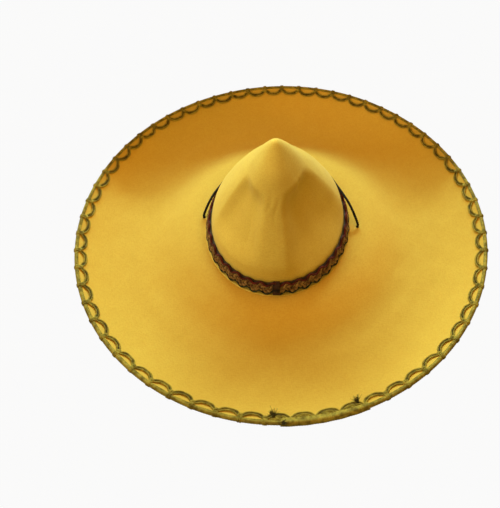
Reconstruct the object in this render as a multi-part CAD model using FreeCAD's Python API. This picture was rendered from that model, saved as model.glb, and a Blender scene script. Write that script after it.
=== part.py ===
"""A felt sombrero: blocked crown, wide brim, braided trims and a chin cord.

Millimetres, +Z up. The origin is the centre of the flat ring that the brim rests on.
-Y is the side where the braids join, and the chin cord passes through the brim at +X and -X.
"""
import FreeCAD
import Part
import math
import os

# Overall sizes
BRIM_RADIUS = 270.0          # over the edge braid
FELT = 3.0                   # felt thickness of crown and brim
CROWN_HALF_X = 86.0          # outer half widths of the crown at its seat
CROWN_HALF_Y = 101.5
CROWN_HEIGHT = 151.0         # from the seat to the peak
CROWN_X = -3.0               # the crown sits a little off the brim's centre
CROWN_Y = -3.0
GAP = 0.15                   # clearance between pieces that lie against each other

# Brim section: radii where its slope changes, and the slopes in degrees
PLATE_INNER_R = 60.0         # inside the head opening
SEAT_EDGE_R = 106.0
FALL_START_R = 136.0
FALL_END_R = 156.0
REST_INNER_R = 186.0
REST_OUTER_R = 198.0
FALL_SLOPE = 22.0
RIM_SLOPE = 39.0

# Crown: width at a fraction of the height, as a fraction of the width at the seat
CROWN_PROFILE = [(0.0, 1.0), (0.135, 0.99), (0.26, 0.938), (0.415, 0.785),
                 (0.57, 0.605), (0.73, 0.40), (0.9, 0.19)]
CROWN_TOP = 0.9              # fraction of the height where the rounded peak starts
CAP_SHRINK = 0.999           # keeps the peak's edge just inside the wall below it
CROWN_SECTIONS = 12
PINCHES = [(90.0, 8.0), (228.0, 8.0), (310.0, 15.0)]    # angle from +X and depth of each dent
PINCH_CENTRE = 0.5           # fraction of the height
PINCH_HALF_HEIGHT = 0.30
PINCH_HALF_ANGLE = 36.0
LIP_WIDTH = 5.0
LIP_HEIGHT = 2.4

# Collar and sweatband inside the crown
COLLAR_WALL = 2.0
COLLAR_HEIGHT = 12.0
SWEATBAND_WALL = 1.2
SWEATBAND_LOW = -1.5
SWEATBAND_HIGH = 26.0
STITCH_R = 0.35
STITCH_LENGTH = 4.0
STITCH_PITCH = 8.7
STITCH_GAP = 0.35

# Edge of the brim
WIRE_R = 0.6
SLEEVE_R = 0.95
SLEEVE_ANGLE = 3.0
FOOT_LEG = 2.5
FOOT_WALL = 0.9
WIRE_SPACE = 2.2
LOOP_COUNT = 61
LOOP_OUTER_R = 10.4
LOOP_INNER_R = 8.5
LOOP_STRAND_R = 0.9
LOOP_LIFT = 0.5
LOOP_INSET = 3.4
TIE_ANGLE = 1.1
TIE_WALL = 0.8
TIE_LEG = 2.8
JOIN_START = -85.0
JOIN_END = -64.0

# Hatband
BAND_LOW = 3.0
BAND_HIGH = 19.5
BAND_WALL = 1.4
BAND_CORD_R = 1.3
BAND_SCALLOPS = 36
BAND_WAVE = 1.6
POLES_PER_WAVE = 8
POLES_PER_SECTION = 8
BAND_JOIN_ANGLE = -85.0
BAND_JOIN_WIDTH = 9.0
BAND_JOIN_WALL = 2.0
BAND_JOIN_ROUND = 0.9

# Chin cord
CORD_R = 1.5
CORD_HOLE_X = 102.0
CORD_HOLE_R = 2.0
CORD_HINGE_Z = 16.0
CORD_PART_GAP = 0.4          # where the cord is parted under each hole
CORD_TILT = 5.0              # the tucked loop slopes down from its pivots by this angle
STRAND_SPACING = 3.8         # between the two strands where they run side by side
LOOP_REACH = 147.0
LOOP_BEND = [(101, 28), (91, 58), (69, 84), (40, 99), (14, 105)]  # sideways, and away from the pivots
CORD_RISE = 6.0              # straight part of the cord through and above each hole
CORD_LEAN = 4.0              # how far it has turned back where it meets the crown's side
SLIDER_WIDTH = 11.0
SLIDER_LENGTH = 9.0
SLIDER_HEIGHT = 6.0
SLIDER_ROUND = 1.2
SLIDER_PLACE = 132.0
SLIDER_CLEARANCE = 0.06
KNOT_HALF_SIZES = (4.6, 3.2, 2.6)

TURN = 360.0


def brim_stations():
    """Radius, height and slope (radians) along the brim's upper face, from the crown outwards."""
    steps = [(SEAT_EDGE_R, 0.0), (FALL_START_R, -FALL_SLOPE), (FALL_END_R, -FALL_SLOPE),
             (REST_INNER_R, 0.0), (REST_OUTER_R, 0.0), (felt_edge_radius(), RIM_SLOPE)]
    r, z, slope = PLATE_INNER_R, 0.0, 0.0
    stations = [(r, z, slope)]
    for next_r, next_degrees in steps:
        next_slope = math.radians(next_degrees)
        z += (next_r - r) * math.tan((slope + next_slope) / 2)
        r, slope = next_r, next_slope
        stations.append((r, z, slope))
    # The lowest ring lies one felt thickness above the resting plane.
    lift = FELT - min(z for r, z, slope in stations)
    return [(r, z + lift, slope) for r, z, slope in stations]


def felt_edge_radius():
    """Radius of the felt's upper edge, so that the ties reach BRIM_RADIUS."""
    stack = WIRE_SPACE + FOOT_WALL + GAP + TIE_WALL
    lower_corner = FELT + 2 * GAP + FOOT_WALL + TIE_WALL
    slope = math.radians(RIM_SLOPE)
    return BRIM_RADIUS - stack * math.cos(slope) - lower_corner * math.sin(slope)


def seat_z():
    """Height of the crown's seat."""
    return brim_stations()[0][1]


def offset_point(station, offset):
    """A station moved along the face's normal, as a point in the XZ plane."""
    r, z, slope = station
    return FreeCAD.Vector(r - offset * math.sin(slope), 0, z + offset * math.cos(slope))


def brim_edges(offset):
    """Arcs and lines of the brim's section at a distance from its upper face."""
    edges = []
    stations = brim_stations()
    for near, far in zip(stations, stations[1:]):
        start = offset_point(near, offset)
        end = offset_point(far, offset)
        if near[2] == far[2]:
            edges.append(Part.makeLine(start, end))
            continue
        radius = (far[0] - near[0]) / (math.sin(far[2]) - math.sin(near[2]))
        middle_slope = (near[2] + far[2]) / 2
        middle = (near[0] + radius * (math.sin(middle_slope) - math.sin(near[2])),
                  near[1] + radius * (math.cos(near[2]) - math.cos(middle_slope)), middle_slope)
        edges.append(Part.Arc(start, offset_point(middle, offset), end).toShape())
    return edges


def revolve(edges, angle=TURN):
    """Solid of revolution about Z from the edges of a closed section."""
    face = Part.Face(Part.Wire(Part.__sortEdges__(edges)))
    return face.revolve(FreeCAD.Vector(0, 0, 0), FreeCAD.Vector(0, 0, 1), angle)


def crown_scale(height):
    """Width of the crown at a height above its seat, as a fraction of the seat's width."""
    fraction = height / CROWN_HEIGHT
    for (low, low_scale), (high, high_scale) in zip(CROWN_PROFILE, CROWN_PROFILE[1:]):
        if fraction <= high:
            return low_scale + (high_scale - low_scale) * (fraction - low) / (high - low)
    return CROWN_PROFILE[-1][1]


def half_axes(height, offset):
    """Half widths of the crown's oval at a height above its seat, grown by an offset."""
    scale = crown_scale(height)
    return CROWN_HALF_X * scale + offset, CROWN_HALF_Y * scale + offset


def oval_point(angle, height, offset):
    """Point on that oval, at an angle in degrees from +X."""
    half_x, half_y = half_axes(height, offset)
    turn = math.radians(angle)
    x, y = CROWN_X + half_x * math.cos(turn), CROWN_Y + half_y * math.sin(turn)
    return FreeCAD.Vector(x, y, seat_z() + height)


def oval_wire(height, offset):
    half_x, half_y = half_axes(height, offset)
    ellipse = Part.Ellipse(FreeCAD.Vector(0, 0, 0), half_y, half_x)
    wire = Part.Wire(ellipse.toShape())
    wire.rotate(FreeCAD.Vector(0, 0, 0), FreeCAD.Vector(0, 0, 1), 90)
    wire.translate(FreeCAD.Vector(CROWN_X, CROWN_Y, seat_z() + height))
    return wire


def oval_ring(low, high, inner, outer):
    """Ring between two heights on the crown's lower wall, between two offsets from its outer face."""
    outside = Part.makeLoft([oval_wire(low, outer), oval_wire(high, outer)], True, True)
    inside = Part.makeLoft([oval_wire(low, inner), oval_wire(high, inner)], True, True)
    return outside.cut(inside)


def bump(distance):
    """Smooth bump: 1 at the middle, 0 at a distance of 1 or more."""
    if abs(distance) >= 1:
        return 0.0
    return math.cos(distance * math.pi / 2) ** 2


def pinch(angle, height):
    """How far the pinches push the crown in, in millimetres."""
    level = bump((height / CROWN_HEIGHT - PINCH_CENTRE) / PINCH_HALF_HEIGHT)
    return level * sum(depth * bump((angle - place) / PINCH_HALF_ANGLE) for place, depth in PINCHES)


def crown_section(height, offset):
    """Closed smooth outline of the crown at a height."""
    half_x, half_y = half_axes(height, offset)
    points = []
    for angle in range(0, 360, 10):
        turn = math.radians(angle)
        x, y = half_x * math.cos(turn), half_y * math.sin(turn)
        shrink = 1 - pinch(angle, height) / math.hypot(x, y)
        points.append(FreeCAD.Vector(CROWN_X + x * shrink, CROWN_Y + y * shrink, seat_z() + height))
    curve = Part.BSplineCurve()
    curve.interpolate(points, PeriodicFlag=True)
    return Part.Wire(curve.toShape())


def crown_shell(offset, bottom, top):
    """Solid filled crown whose face is offset from the crown's outer face."""
    knee = CROWN_PROFILE[1][0] * CROWN_HEIGHT
    wall = Part.makeLoft([crown_section(bottom, offset), crown_section(knee, offset)], True, True)
    step = (CROWN_TOP * top - knee) / CROWN_SECTIONS
    heights = [knee + step * index for index in range(CROWN_SECTIONS + 1)]
    dome = Part.makeLoft([crown_section(height, offset) for height in heights], True, False)
    half_x, half_y = half_axes(heights[-1], offset)
    cap_rise = top - heights[-1]
    cap = Part.makeSphere(1.0)
    matrix = FreeCAD.Matrix()
    matrix.scale(half_x * CAP_SHRINK, half_y * CAP_SHRINK, cap_rise)
    cap = cap.transformGeometry(matrix)
    cap.translate(FreeCAD.Vector(CROWN_X, CROWN_Y, seat_z() + heights[-1]))
    return wall.fuse([dome, cap])


def crown_felt():
    outside = crown_shell(0.0, GAP, CROWN_HEIGHT)
    inside = crown_shell(-FELT, -1.0, CROWN_HEIGHT - FELT)
    lip = oval_ring(GAP, GAP + LIP_HEIGHT, -FELT + 0.5, LIP_WIDTH)
    return outside.fuse(lip).cut(inside)


def brim_felt():
    top = brim_edges(0.0)
    bottom = brim_edges(-FELT)
    stations = brim_stations()
    ends = [Part.makeLine(offset_point(station, 0.0), offset_point(station, -FELT))
            for station in (stations[0], stations[-1])]
    plate = revolve(top + bottom + ends)
    opening = Part.makeLoft([oval_wire(-FELT - 1, collar_inner()), oval_wire(1, collar_inner())], True, True)
    collar = oval_ring(-FELT / 2, COLLAR_HEIGHT, collar_inner(), -FELT - GAP)
    brim = plate.cut(opening).fuse(collar)
    for side in (-1, 1):
        foot = FreeCAD.Vector(side * CORD_HOLE_X, 0, 0)
        brim = brim.cut(Part.makeCylinder(CORD_HOLE_R, 2 * seat_z(), foot))
    return brim


def capsule(start, end, radius):
    """Short round thread with flat ends."""
    return Part.makeCylinder(radius, (end - start).Length, start, end - start)


def stitch_ring(height, offset):
    """Row of running stitches around one of the crown's ovals."""
    half_x, half_y = half_axes(height, offset)
    perimeter = math.pi * (half_x + half_y)
    count = int(perimeter / STITCH_PITCH)
    stitches = []
    for index in range(count):
        angle = TURN * index / count
        middle = oval_point(angle, height, offset)
        turn = math.radians(angle)
        along = FreeCAD.Vector(-half_x * math.sin(turn), half_y * math.cos(turn), 0).normalize()
        half = along * (STITCH_LENGTH / 2)
        stitches.append(capsule(middle - half, middle + half, STITCH_R))
    return Part.makeCompound(stitches)


def collar_inner():
    """Offset of the collar's inner face from the crown's outer face."""
    return -FELT - GAP - COLLAR_WALL


def sweatband_outer():
    return collar_inner() - 2 * STITCH_R - 2 * STITCH_GAP


def crown_seam_stitches():
    return stitch_ring(COLLAR_HEIGHT / 2, collar_inner() - STITCH_R - STITCH_GAP)


def sweatband():
    outer = sweatband_outer()
    return oval_ring(SWEATBAND_LOW, SWEATBAND_HIGH, outer - SWEATBAND_WALL, outer)


def sweatband_stitches():
    return stitch_ring(SWEATBAND_LOW + 4.0, sweatband_outer() - SWEATBAND_WALL - STITCH_R - STITCH_GAP)


def edge_frame():
    """The felt's upper edge, with the directions outwards along the felt and up from it."""
    station = brim_stations()[-1]
    slope = station[2]
    corner = offset_point(station, 0.0)
    outwards = FreeCAD.Vector(math.cos(slope), 0, math.sin(slope))
    up = FreeCAD.Vector(-math.sin(slope), 0, math.cos(slope))
    return corner, outwards, up


def edge_clip(clearance, reach, wall, leg, start, end):
    """Clip folded over the felt's edge, between two angles about Z."""
    corner, outwards, up = edge_frame()
    top, bottom = clearance, -FELT - clearance
    section = [(-leg, top), (reach, top), (reach, bottom), (-leg, bottom), (-leg, bottom - wall),
               (reach + wall, bottom - wall), (reach + wall, top + wall), (-leg, top + wall)]
    points = [corner + outwards * along + up * above for along, above in section]
    edges = [Part.makeLine(a, b) for a, b in zip(points, points[1:] + points[:1])]
    clip = revolve(edges, end - start)
    clip.rotate(FreeCAD.Vector(0, 0, 0), FreeCAD.Vector(0, 0, 1), start)
    return clip


def edge_braid_foot():
    return edge_clip(2 * GAP, WIRE_SPACE, FOOT_WALL, FOOT_LEG, 0.0, TURN)


def around_foot(start, end):
    """Clip that wraps the foot of the braid."""
    return edge_clip(3 * GAP + FOOT_WALL, WIRE_SPACE + FOOT_WALL + GAP, TIE_WALL, TIE_LEG, start, end)


def tie_angles():
    """Places of the ties, between the loops, clear of the join."""
    pitch = TURN / LOOP_COUNT
    places = [(index + 0.5) * pitch - TURN / 2 for index in range(LOOP_COUNT)]
    return [place for place in places if not JOIN_START - 2 < place < JOIN_END + 2]


def edge_braid_ties():
    half = TIE_ANGLE / 2
    return Part.makeCompound([around_foot(place - half, place + half) for place in tie_angles()])


def edge_braid_join():
    return around_foot(JOIN_START, JOIN_END)


def edge_loops(loop_radius):
    """One arched strand of every loop, lying on the upper face next to the foot."""
    corner, outwards, up = edge_frame()
    slope = math.radians(RIM_SLOPE) - (LOOP_INSET + loop_radius / 2) / brim_rim_radius()
    inwards = FreeCAD.Vector(-math.cos(slope), 0, -math.sin(slope))
    normal = FreeCAD.Vector(-math.sin(slope), 0, math.cos(slope))
    centre = corner - outwards * LOOP_INSET + up * (LOOP_STRAND_R + LOOP_LIFT)
    origin, axis = FreeCAD.Vector(0, 0, 0), FreeCAD.Vector(0, 0, 1)
    arch = Part.makeTorus(loop_radius, LOOP_STRAND_R, origin, axis, 0, TURN, TURN / 2)
    across = inwards.cross(normal)
    matrix = FreeCAD.Matrix(across.x, inwards.x, normal.x, centre.x,
                            across.y, inwards.y, normal.y, centre.y,
                            across.z, inwards.z, normal.z, centre.z, 0, 0, 0, 1)
    arch = arch.transformed(matrix)
    loops = []
    for index in range(LOOP_COUNT):
        loop = arch.copy()
        loop.rotate(origin, axis, TURN * index / LOOP_COUNT - TURN / 2)
        loops.append(loop)
    return Part.makeCompound(loops)


def brim_rim_radius():
    """Radius of curvature of the brim's upturned outer part."""
    return (felt_edge_radius() - REST_OUTER_R) / math.sin(math.radians(RIM_SLOPE))


def wire_centre():
    corner, outwards, up = edge_frame()
    return corner + outwards * (WIRE_SPACE / 2) - up * (FELT / 2)


def edge_wire():
    centre = wire_centre()
    wire = Part.makeTorus(centre.x, WIRE_R)
    wire.translate(FreeCAD.Vector(0, 0, centre.z))
    return wire


def wire_sleeve():
    """Crimped sleeve over the wire's two ends, opposite the braid's join."""
    centre = wire_centre()
    origin, axis = FreeCAD.Vector(0, 0, 0), FreeCAD.Vector(0, 0, 1)
    outside = Part.makeTorus(centre.x, SLEEVE_R, origin, axis, 0, TURN, SLEEVE_ANGLE)
    inside = Part.makeTorus(centre.x, WIRE_R + SLIDER_CLEARANCE, origin, axis, 0, TURN, TURN)
    sleeve = outside.cut(inside)
    sleeve.rotate(origin, axis, 90 - SLEEVE_ANGLE / 2)
    sleeve.translate(FreeCAD.Vector(0, 0, centre.z))
    return sleeve


def sweep(edges, start, along, radius):
    """Round cord along a path of edges that begins at a point in a direction."""
    section = Part.Wire(Part.Circle(start, along, radius).toShape())
    return Part.Wire(edges).makePipeShell([section], True, False)


def uniform_knots(count):
    """Knots of a periodic spline with that many poles."""
    return [float(index) for index in range(count + 1)]


def spline_gain(count):
    """How far a periodic cubic spline pulls in from poles that go once round a circle."""
    return (4 + 2 * math.cos(2 * math.pi / count)) / 6


def closed_cord(middle, wave, waves, offset, radius):
    """Closed wavy cord around the crown, as one surface that is periodic both ways."""
    steps = waves * POLES_PER_WAVE
    spine = []
    for index in range(steps):
        angle = TURN * index / steps
        rise = wave * math.sin(math.radians(angle * waves)) / spline_gain(POLES_PER_WAVE)
        spine.append(oval_point(angle, middle + rise, offset))
    poles = []
    for index, point in enumerate(spine):
        along = (spine[(index + 1) % steps] - spine[index - 1]).normalize()
        turn = math.radians(TURN * index / steps)
        out = FreeCAD.Vector(math.cos(turn), math.sin(turn), 0)
        up = along.cross(out).normalize()
        out = up.cross(along)
        row = []
        for corner in range(POLES_PER_SECTION):
            around = 2 * math.pi * corner / POLES_PER_SECTION
            reach = radius / spline_gain(POLES_PER_SECTION)
            row.append(point + out * (reach * math.cos(around)) + up * (reach * math.sin(around)))
        poles.append(row)
    surface = Part.BSplineSurface()
    surface.buildFromPolesMultsKnots(poles, [1] * (steps + 1), [1] * (POLES_PER_SECTION + 1),
                                     uniform_knots(steps), uniform_knots(POLES_PER_SECTION), True, True, 3, 3)
    return Part.Solid(Part.Shell([surface.toShape()]))


def hatband_core():
    return oval_ring(BAND_LOW, BAND_HIGH, GAP, GAP + BAND_WALL)


def hatband_cord(middle):
    """Wavy cord along one edge of the hatband."""
    return closed_cord(middle, BAND_WAVE, BAND_SCALLOPS, 3 * GAP + BAND_WALL + BAND_CORD_R, BAND_CORD_R)


def hatband_join():
    """Short wrap that covers the hatband's two ends."""
    low_offset = 6 * GAP + BAND_WALL + 2 * BAND_CORD_R
    centre_low = oval_point(BAND_JOIN_ANGLE, BAND_LOW, low_offset)
    centre_high = oval_point(BAND_JOIN_ANGLE, BAND_HIGH, low_offset)
    up = (centre_high - centre_low).normalize()
    across = (oval_point(BAND_JOIN_ANGLE + 1, BAND_LOW, low_offset) - centre_low).normalize()
    out = across.cross(up).normalize()
    block = Part.makeBox(BAND_JOIN_WALL, BAND_JOIN_WIDTH, (centre_high - centre_low).Length)
    block = block.makeFillet(BAND_JOIN_ROUND, block.Edges)
    block.translate(FreeCAD.Vector(0, -BAND_JOIN_WIDTH / 2, 0))
    matrix = FreeCAD.Matrix(out.x, across.x, up.x, centre_low.x, out.y, across.y, up.y, centre_low.y,
                            out.z, across.z, up.z, centre_low.z, 0, 0, 0, 1)
    return block.transformed(matrix)


def chin_cord_over():
    """Upper length: up through one hole, round the back of the crown and down through the other."""
    low = CORD_HINGE_Z + CORD_R + CORD_PART_GAP
    rise = [(CORD_HOLE_X, 0, low + CORD_RISE * step / 3) for step in range(4)]
    rise.append((CORD_HOLE_X - CORD_LEAN / 4, CORD_LEAN, low + CORD_RISE + CORD_LEAN))
    right = [FreeCAD.Vector(x, y, z) for x, y, z in rise]
    left = [FreeCAD.Vector(-x, y, z) for x, y, z in reversed(rise)]
    offset = 3 * GAP + BAND_WALL + 2 * BAND_CORD_R + 2 * CORD_R
    angles = (20, 35, 50, 70, 90, 110, 130, 145, 160)
    around = [oval_point(angle, BAND_HIGH - 2 * CORD_R, offset) for angle in angles]
    curve = Part.BSplineCurve()
    curve.interpolate(right + around + left)
    return sweep([curve.toShape()], right[0], FreeCAD.Vector(0, 0, 1), CORD_R)


def loop_point(x, along, above=0.0):
    """Point in the tucked loop's plane: sideways, away from the pivots, and above the plane."""
    tilt = math.radians(CORD_TILT)
    return FreeCAD.Vector(x, along * math.cos(tilt) + above * math.sin(tilt),
                          CORD_HINGE_Z - along * math.sin(tilt) + above * math.cos(tilt))


def chin_cord_strand(side):
    """One lower strand: from its pivot round the head opening to the middle, then beside its twin."""
    beside = STRAND_SPACING / 2
    path = [(CORD_HOLE_X, 0)] + LOOP_BEND + [(beside + 1, 111), (beside, 118)]
    points = [loop_point(side * x, along) for x, along in path]
    ahead = loop_point(0, 1) - loop_point(0, 0)
    bend = Part.BSplineCurve()
    bend.interpolate(Points=points, InitialTangent=ahead, FinalTangent=ahead)
    straight = Part.makeLine(points[-1], loop_point(side * beside, LOOP_REACH))
    strand = sweep([bend.toShape(), straight], points[0], ahead, CORD_R)
    return strand.fuse(Part.makeSphere(CORD_R + GAP, points[0]))


def cord_end_knot():
    """Flattened overhand knot that holds the two strands' ends together."""
    knot = Part.makeSphere(1.0)
    matrix = FreeCAD.Matrix()
    matrix.scale(*KNOT_HALF_SIZES)
    knot = knot.transformGeometry(matrix)
    knot.rotate(FreeCAD.Vector(0, 0, 0), FreeCAD.Vector(1, 0, 0), -CORD_TILT)
    knot.translate(loop_point(0, LOOP_REACH + GAP + KNOT_HALF_SIZES[1]))
    return knot


def cord_slider():
    """Leather keeper with two bores, sliding along both strands."""
    low = FreeCAD.Vector(-SLIDER_WIDTH / 2, -SLIDER_LENGTH / 2, -SLIDER_HEIGHT / 2)
    block = Part.makeBox(SLIDER_WIDTH, SLIDER_LENGTH, SLIDER_HEIGHT, low)
    block = block.makeFillet(SLIDER_ROUND, block.Edges)
    for side in (-1, 1):
        start = FreeCAD.Vector(side * STRAND_SPACING / 2, -SLIDER_LENGTH, 0)
        bore = Part.makeCylinder(CORD_R + SLIDER_CLEARANCE, 2 * SLIDER_LENGTH, start, FreeCAD.Vector(0, 1, 0))
        block = block.cut(bore)
    block.rotate(FreeCAD.Vector(0, 0, 0), FreeCAD.Vector(1, 0, 0), -CORD_TILT)
    block.translate(loop_point(0, SLIDER_PLACE))
    return block


NODES = {
    "brim_felt": brim_felt,
    "crown_felt": crown_felt,
    "crown_seam_stitches": crown_seam_stitches,
    "sweatband": sweatband,
    "sweatband_stitches": sweatband_stitches,
    "brim_edge_wire": edge_wire,
    "wire_splice_sleeve": wire_sleeve,
    "edge_braid_foot": edge_braid_foot,
    "edge_braid_outer_strands": lambda: edge_loops(LOOP_OUTER_R),
    "edge_braid_inner_strands": lambda: edge_loops(LOOP_INNER_R),
    "edge_braid_ties": edge_braid_ties,
    "edge_braid_join": edge_braid_join,
    "hatband_core": hatband_core,
    "hatband_upper_cord": lambda: hatband_cord(BAND_HIGH - BAND_CORD_R - BAND_WAVE),
    "hatband_lower_cord": lambda: hatband_cord(BAND_LOW + BAND_CORD_R + BAND_WAVE),
    "hatband_join": hatband_join,
    "chin_cord_over": chin_cord_over,
    "chin_cord_left": lambda: chin_cord_strand(-1),
    "chin_cord_right": lambda: chin_cord_strand(1),
    "cord_end_knot": cord_end_knot,
    "cord_slider": cord_slider,
}

os.makedirs("parts", exist_ok=True)
for node, make in NODES.items():
    make().exportStep("parts/" + node + ".step")
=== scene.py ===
"""Looks of a felt sombrero: pressed felt, gimp braid round the brim, a braided hatband and a twisted cord.

Shapes are worked out in millimetres in the frame of the CAD part and turned into metres when a mesh is made.
"""
import math
import bmesh
import bpy
import numpy as np
from mathutils import Matrix, Vector


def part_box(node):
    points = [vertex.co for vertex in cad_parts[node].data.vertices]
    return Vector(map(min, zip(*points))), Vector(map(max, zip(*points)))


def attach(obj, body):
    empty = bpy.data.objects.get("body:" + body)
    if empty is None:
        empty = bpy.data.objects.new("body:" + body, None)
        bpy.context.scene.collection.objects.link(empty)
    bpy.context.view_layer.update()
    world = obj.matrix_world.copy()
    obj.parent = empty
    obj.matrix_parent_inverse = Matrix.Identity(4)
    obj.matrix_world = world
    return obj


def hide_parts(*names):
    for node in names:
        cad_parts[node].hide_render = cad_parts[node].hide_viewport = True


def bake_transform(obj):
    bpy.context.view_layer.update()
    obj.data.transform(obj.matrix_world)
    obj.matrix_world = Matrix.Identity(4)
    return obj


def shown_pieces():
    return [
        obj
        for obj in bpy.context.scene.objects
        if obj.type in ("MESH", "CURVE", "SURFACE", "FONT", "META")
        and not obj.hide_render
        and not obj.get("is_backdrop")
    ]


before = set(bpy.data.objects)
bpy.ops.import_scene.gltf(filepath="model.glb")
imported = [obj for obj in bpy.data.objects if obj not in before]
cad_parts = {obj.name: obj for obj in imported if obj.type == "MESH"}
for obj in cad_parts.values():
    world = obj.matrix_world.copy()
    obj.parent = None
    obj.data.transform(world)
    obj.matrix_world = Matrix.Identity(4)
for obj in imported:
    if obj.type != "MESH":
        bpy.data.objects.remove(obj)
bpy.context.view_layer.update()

MM = 0.001
TAU = 2 * math.pi
rng = np.random.default_rng(11)


# ---------------- places taken from the CAD part

def box_mm(node):
    """Lowest and highest corner of a CAD piece."""
    low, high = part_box(node)
    return np.array(low) / MM, np.array(high) / MM


FELT = 3.0
FELT_MIDDLE = -FELT / 2       # lift of the felt's middle, measured from its upper face
GAP = 0.15                    # clearance between crown and brim
LIP_WIDTH = 5.0               # lip, cord and wire as the CAD part has them
CORD_R = 1.5
WIRE_R = 0.6
WIRE_OUT = 1.1                # the wire's axis beyond the felt's edge

crown_low, crown_high = box_mm("crown_felt")
wire_low, wire_high = box_mm("brim_edge_wire")
band_low, band_high = box_mm("hatband_core")
over_high = box_mm("chin_cord_over")[1]
right_high = box_mm("chin_cord_right")[1]
slider_low, slider_high = box_mm("cord_slider")
knot_low, knot_high = box_mm("cord_end_knot")
sweat_low, sweat_high = box_mm("sweatband")

SEAT = crown_low[2] - GAP
CENTRE = (crown_low[:2] + crown_high[:2]) / 2
HALF = (crown_high[:2] - crown_low[:2]) / 2 - LIP_WIDTH
PEAK = crown_high[2] - SEAT
HOLE_X = over_high[0] - CORD_R
HINGE_Z = right_high[2] - CORD_R - GAP
BAND_LOW = band_low[2] - SEAT
BAND_HIGH = band_high[2] - SEAT

# The brim's section: radii where its slope changes, with the slopes.
RIM_SLOPE = math.radians(39.0)
REST_R = 198.0
wire_r = (wire_high[0] - wire_low[0]) / 2 - WIRE_R
EDGE_R = wire_r - WIRE_OUT * math.cos(RIM_SLOPE) + FELT_MIDDLE * math.sin(RIM_SLOPE)
ROUND = (EDGE_R - REST_R) / math.sin(RIM_SLOPE)
SECTION = [(60.0, 0.0), (106.0, 0.0), (136.0, math.radians(-22.0)), (156.0, math.radians(-22.0)),
           (186.0, 0.0), (REST_R, 0.0), (EDGE_R, RIM_SLOPE)]


def smooth(t):
    """Soft step from 0 to 1."""
    t = np.clip(t, 0.0, 1.0)
    return t * t * (3 - 2 * t)


def ripple(points, amplitude, wavelength, seed):
    """Soft unevenness of pressed felt, as a sum of waves in fixed directions."""
    source = np.random.default_rng(seed)
    total = np.zeros(points.shape[:-1])
    for _ in range(7):
        direction = source.normal(size=3)
        direction /= np.linalg.norm(direction)
        length = wavelength * source.uniform(0.6, 1.7)
        total += np.sin(points @ direction * (TAU / length) + source.uniform(0, TAU))
    return amplitude * total / 3.0


def unevenness(angle, r):
    """How far the free part of the brim stands above or below its ideal height."""
    free = smooth((r - REST_R) / 55.0)
    waves = 0.9 * np.sin(2 * angle + 0.5) + 0.6 * np.sin(3 * angle + 2.1) + 0.35 * np.sin(5 * angle + 0.8)
    return free * waves


def brim_face(r):
    """Height and slope of the brim's upper face at radii r."""
    heights = [0.0]
    for (r0, s0), (r1, s1) in zip(SECTION, SECTION[1:]):
        heights.append(heights[-1] + (r1 - r0) * math.tan((s0 + s1) / 2))
    lift = FELT - min(heights)
    z, slope = np.full_like(r, lift), np.zeros_like(r)
    for (r0, s0), (r1, s1), z0 in zip(SECTION, SECTION[1:], heights):
        part = (r >= r0) & (r <= r1)
        if s0 == s1:
            z[part] = z0 + lift + (r[part] - r0) * math.tan(s0)
            slope[part] = s0
        else:
            radius = (r1 - r0) / (math.sin(s1) - math.sin(s0))
            s = np.arcsin(np.clip(math.sin(s0) + (r[part] - r0) / radius, -1, 1))
            z[part] = z0 + lift + radius * (math.cos(s0) - np.cos(s))
            slope[part] = s
    return z, slope


def rim_point(angle, inset, lift):
    """Point near the brim's edge: inset runs inwards along the felt, lift stands off its upper face."""
    slope = RIM_SLOPE - np.maximum(inset, 0) / ROUND
    beyond = np.minimum(inset, 0)
    r = REST_R + ROUND * np.sin(slope) - beyond * math.cos(RIM_SLOPE) - lift * np.sin(slope)
    z = FELT + ROUND * (1 - np.cos(slope)) - beyond * math.sin(RIM_SLOPE) + lift * np.cos(slope)
    z = z + unevenness(angle, r)
    return np.stack([r * np.cos(angle), r * np.sin(angle), z], -1)


# The crown's profile: its width at shares of its height.
CROWN_AT = [-0.1, 0.0, 0.135, 0.26, 0.415, 0.57, 0.73, 0.9]
CROWN_WIDE = [1.0074, 1.0, 0.99, 0.938, 0.785, 0.605, 0.40, 0.19]
FLANK_AT = 0.73              # above this the crown is a cone with a rounded tip
FLANK_FALL = 1.16
TIP_ROUND = 0.075


def crown_scale(f):
    """Width of the crown at a fraction of its height, as a share of its width at the seat."""
    wall = np.mean([np.interp(f + d, CROWN_AT, CROWN_WIDE) for d in np.linspace(-0.04, 0.04, 9)], axis=0)
    down = np.clip(1 - f, 0, 1)
    cone = FLANK_FALL * np.sqrt(down ** 2 + 2 * down * TIP_ROUND)
    return wall + (cone - wall) * smooth((f - FLANK_AT + 0.06) / 0.12)


def wall_point(angle, height, offset):
    """Point beside the crown's wall as it would be without dents."""
    share = crown_scale(height / PEAK)
    x = CENTRE[0] + (HALF[0] * share + offset) * np.cos(angle)
    y = CENTRE[1] + (HALF[1] * share + offset) * np.sin(angle)
    return np.stack([x, y, SEAT + height + 0 * x], -1)


def lobe(distance, before, after, flat):
    """Smooth bump that is 1 at the middle, with its own reach on each side."""
    t = np.clip(np.abs(np.where(distance < 0, distance / before, distance / after)), 0, 1)
    return np.cos(t ** flat * math.pi / 2) ** 2


def turn_to(angle, place):
    """Signed angle from a place, in degrees."""
    return (np.degrees(angle) - place + 180) % 360 - 180


# Each dent: where round the crown, height share, depth, reach before and after, reach down and up, flatness.
DENTS = [(-41.0, 0.50, 19.0, 37.0, 51.0, 0.40, 0.26, 1.8),
         (-132.0, 0.52, 10.0, 30.0, 34.0, 0.30, 0.24, 2.0),
         (-95.0, 0.82, -7.0, 72.0, 68.0, 0.27, 0.16, 1.1),
         (90.0, 0.50, 8.0, 34.0, 34.0, 0.28, 0.28, 1.1)]
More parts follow.
